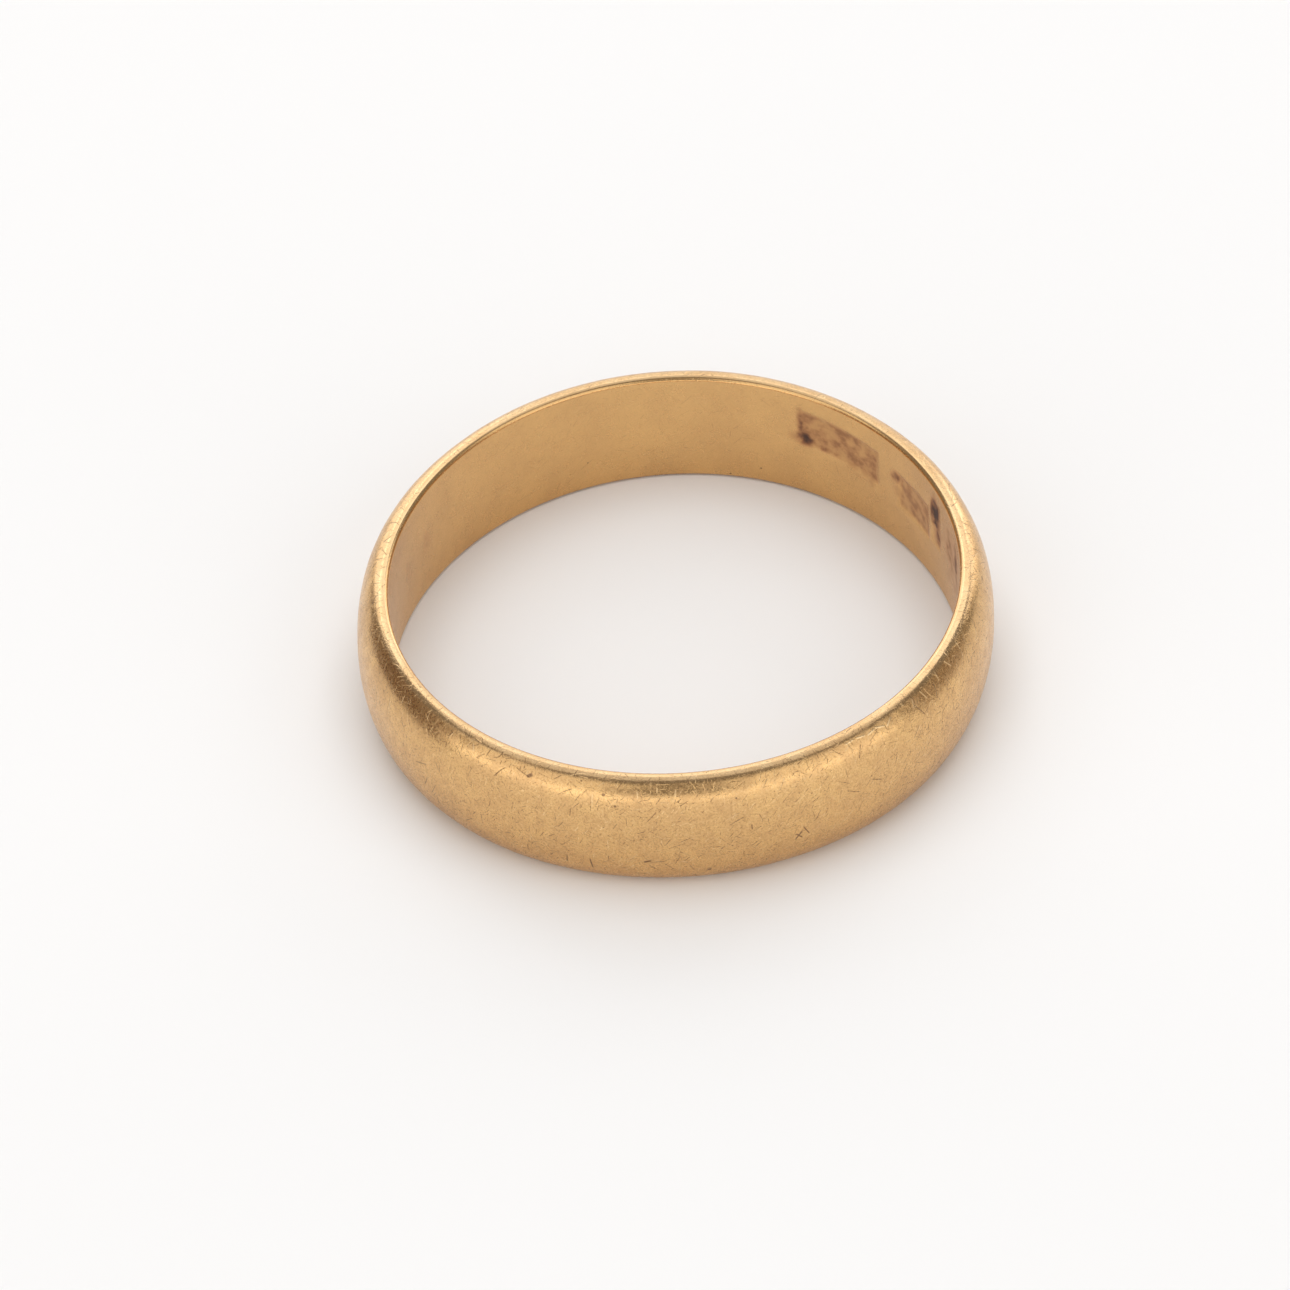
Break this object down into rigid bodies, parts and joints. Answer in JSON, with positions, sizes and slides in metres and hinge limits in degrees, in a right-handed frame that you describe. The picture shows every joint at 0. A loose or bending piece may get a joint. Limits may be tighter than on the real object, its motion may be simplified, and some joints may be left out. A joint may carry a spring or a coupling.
{
  "type": "wedding band",
  "caption": "Plain gold wedding band with a domed D section, softly rounded edges and blank punch marks struck inside the finger hole.",
  "frame": {"origin": "centre of the finger hole, on the plane that the band's lower edge lies on", "axes": "+Z along the finger hole's axis, up from the lower edge; the punch marks are inside the wall between +X and +Y"},
  "size_m": [0.019, 0.019, 0.004],
  "materials": {
    "gold": "worn satin 18 ct yellow gold"
  },
  "bodies": {
    "root": {"band": "gold"}
  },
  "joints": []
}
